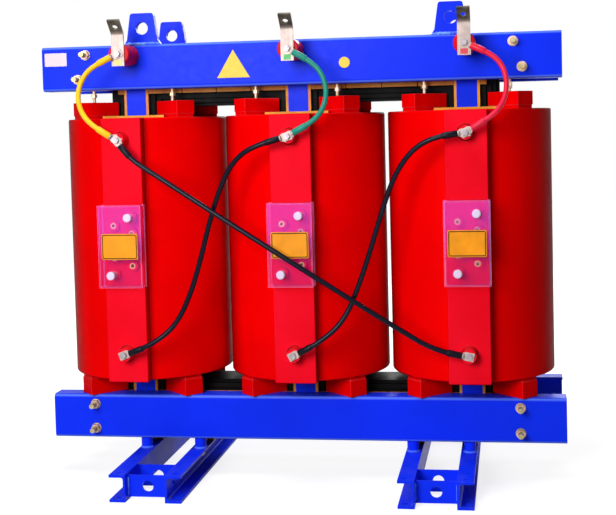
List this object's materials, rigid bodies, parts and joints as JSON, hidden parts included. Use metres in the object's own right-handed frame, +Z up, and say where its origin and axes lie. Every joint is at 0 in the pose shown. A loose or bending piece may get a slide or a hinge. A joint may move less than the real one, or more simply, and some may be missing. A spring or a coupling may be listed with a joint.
{
  "type": "dry type transformer",
  "caption": "Three-phase dry-type transformer with red cast-resin coils on a stepped core, blue clamping frame on channel feet, clear tap covers, cross-connected cables and busbars.",
  "frame": {"origin": "on the floor, under the middle limb, at the centre of the feet", "axes": "+X along the row of limbs to the right as seen from the high-voltage side, +Y towards the low-voltage side, +Z up; the high-voltage front faces -Y"},
  "size_m": [1.25, 0.716, 1.128],
  "materials": {
    "core_varnish": "satin black varnish over stacked steel sheet",
    "frame_paint": "gloss royal blue powder coat",
    "laminate_board": "orange-brown glass-fibre laminate",
    "winding_varnish": "amber-brown impregnated foil winding",
    "cast_resin": "red filled epoxy, semi-gloss",
    "clear_cover": "clear moulded cover",
    "tinned_bar": "tin-plated copper, satin",
    "insert_brass": "machined brass",
    "zinc_steel": "zinc-plated steel",
    "white_nylon": "moulded nylon",
    "black_sleeve": "shrink sleeve",
    "yellow_cable": "silicone-insulated cable, yellow",
    "green_cable": "silicone-insulated cable, green",
    "red_cable": "silicone-insulated cable, red",
    "black_cable": "silicone-insulated cable, black"
  },
  "bodies": {
    "root": {"core_limb_left": "core_varnish", "core_limb_middle": "core_varnish", "core_limb_right": "core_varnish", "core_yoke_lower": "core_varnish", "core_yoke_upper": "core_varnish", "upper_clamp_front": "frame_paint", "upper_clamp_rear": "frame_paint", "lower_clamp_front": "frame_paint", "lower_clamp_rear": "frame_paint", "lifting_lugs": "frame_paint", "tie_plates": "frame_paint", "foot_channels": "frame_paint", "foot_cross_plates": "frame_paint", "foot_posts": "frame_paint", "tie_plate_channels": "laminate_board", "yoke_boards": "laminate_board", "barrier_boards": "laminate_board", "core_pads": "laminate_board", "lv_coil_left": "winding_varnish", "hv_coil_left": "cast_resin", "tap_cover_left": "clear_cover", "hv_busbar_left": "tinned_bar", "lv_coil_middle": "winding_varnish", "hv_coil_middle": "cast_resin", "tap_cover_middle": "clear_cover", "hv_busbar_middle": "tinned_bar", "lv_coil_right": "winding_varnish", "hv_coil_right": "cast_resin", "tap_cover_right": "clear_cover", "hv_busbar_right": "tinned_bar", "lower_supports": "cast_resin", "upper_supports": "cast_resin", "hv_insulators": "cast_resin", "lv_insulators": "cast_resin", "threaded_inserts": "insert_brass", "tap_links": "tinned_bar", "lv_busbars": "tinned_bar", "neutral_bars": "tinned_bar", "cable_lugs": "tinned_bar", "clamp_rods": "zinc_steel", "clamp_nuts": "zinc_steel", "clamp_washers": "zinc_steel", "tap_link_bolts": "zinc_steel", "cover_studs": "zinc_steel", "pressure_bolts": "zinc_steel", "pressure_nuts": "zinc_steel", "foot_bolts": "zinc_steel", "foot_nuts": "zinc_steel", "insulator_bolts": "zinc_steel", "lv_bolts": "zinc_steel", "lv_nuts": "zinc_steel", "terminal_bolts": "zinc_steel", "cover_nuts": "white_nylon", "cable_sleeves": "black_sleeve", "cable_yellow": "yellow_cable", "cable_green": "green_cable", "cable_red": "red_cable", "cable_black_long": "black_cable", "cable_black_left": "black_cable", "cable_black_right": "black_cable"}
  },
  "joints": []
}
